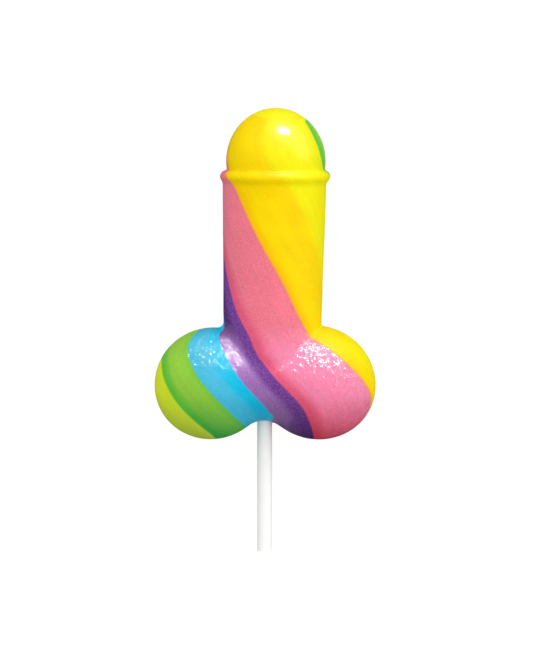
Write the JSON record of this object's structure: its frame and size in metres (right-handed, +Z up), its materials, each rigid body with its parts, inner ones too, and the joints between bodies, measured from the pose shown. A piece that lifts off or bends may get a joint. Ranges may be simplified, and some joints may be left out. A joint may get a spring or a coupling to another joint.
{
  "type": "penis lollipop",
  "caption": "Novelty hard-candy lollipop with a domed tip, rolled collar, tapering shaft and round lobes, in twisted rainbow stripes on a white paper stick.",
  "frame": {"origin": "middle of the whole lollipop, on the surface that it lies on", "axes": "+Y from the stick's cut end to the tip of the dome, +Z up, away from the surface, +X to the right of the shown side"},
  "size_m": [0.0699, 0.1398, 0.0349],
  "materials": {
    "candy": "glossy hard candy in twisted yellow, lime, green, blue, purple and pink stripes, with fine pull lines along the stripes",
    "stick": "smooth white rolled paper, matt"
  },
  "bodies": {
    "root": {"candy": "candy", "stick": "stick"}
  },
  "joints": []
}
